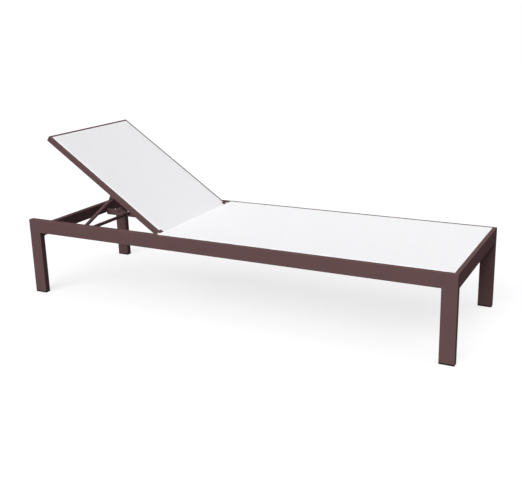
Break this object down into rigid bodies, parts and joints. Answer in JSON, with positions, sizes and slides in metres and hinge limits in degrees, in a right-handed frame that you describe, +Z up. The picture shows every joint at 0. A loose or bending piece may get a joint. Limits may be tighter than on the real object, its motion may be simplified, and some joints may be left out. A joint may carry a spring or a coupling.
{
  "type": "sun lounger",
  "caption": "Low sun lounger of flat tube on straight legs, with a taut sling seat and a hinged sling backrest that a swinging prop holds raised in notched racks.",
  "frame": {"origin": "on the floor, under the middle of the whole lounger as it stands with its backrest raised", "axes": "+Z up, +X along the lounger towards the foot end, +Y towards the left side of a person who lies on it"},
  "size_m": [2, 0.67, 0.7423],
  "materials": {
    "frame": "brown powder coat, fine satin texture",
    "black_plastic": "black moulded plastic",
    "steel": "stainless, satin",
    "blackened_steel": "stainless, blackened",
    "nylon": "natural nylon",
    "buffer_rubber": "black rubber, matt",
    "sling_fabric": "white coated mesh, fine basket weave",
    "spline_plastic": "extruded plastic cord, off-white"
  },
  "bodies": {
    "seat_frame": {"side_rail_left": "frame", "side_rail_right": "frame", "foot_rail": "frame", "head_crossbar": "frame", "backrest_buffers": "buffer_rubber", "seat_head_rail": "frame", "seat_brace_head": "frame", "seat_brace_foot": "frame", "leg_head_left": "frame", "leg_head_right": "frame", "leg_foot_left": "frame", "leg_foot_right": "frame", "foot_glide_head_left": "black_plastic", "foot_glide_head_right": "black_plastic", "foot_glide_foot_left": "black_plastic", "foot_glide_foot_right": "black_plastic", "rail_end_cap_left": "black_plastic", "rail_end_cap_right": "black_plastic", "rack_left": "frame", "rack_right": "frame", "hinge_plate_left": "steel", "hinge_plate_right": "steel", "hinge_plate_screws": "steel", "hinge_spacer_left": "nylon", "hinge_spacer_right": "nylon", "seat_sling": "sling_fabric", "seat_sling_splines": "spline_plastic"},
    "backrest": {"backrest_side_rail_left": "frame", "backrest_side_rail_right": "frame", "backrest_top_rail": "frame", "backrest_bottom_rail": "frame", "hinge_block_left": "frame", "hinge_block_right": "frame", "hinge_bush_left": "nylon", "hinge_bush_right": "nylon", "backrest_sling": "sling_fabric", "backrest_sling_splines": "spline_plastic", "prop_bracket_left": "frame", "prop_bracket_right": "frame", "prop_bolts": "blackened_steel", "prop_washers": "nylon", "prop_nuts": "blackened_steel"},
    "prop": {"prop_arm_left": "frame", "prop_arm_right": "frame", "prop_bar": "frame"}
  },
  "joints": [
    {"name": "backrest_hinge", "type": "hinge", "parent": "seat_frame", "child": "backrest", "pos_m": [-0.306, 0, 0.3425], "axis": [0, 1, 0], "range_deg": [-34.2, 16]},
    {"name": "prop_hinge", "type": "hinge", "parent": "backrest", "child": "prop", "pos_m": [-0.55186, 0, 0.48154], "axis": [0, 1, 0], "range_deg": [-35.1, 74.9]}
  ],
  "couplings": [
    {"joint": "prop_hinge", "follows": "backrest_hinge", "ratio": -2.1877}
  ]
}
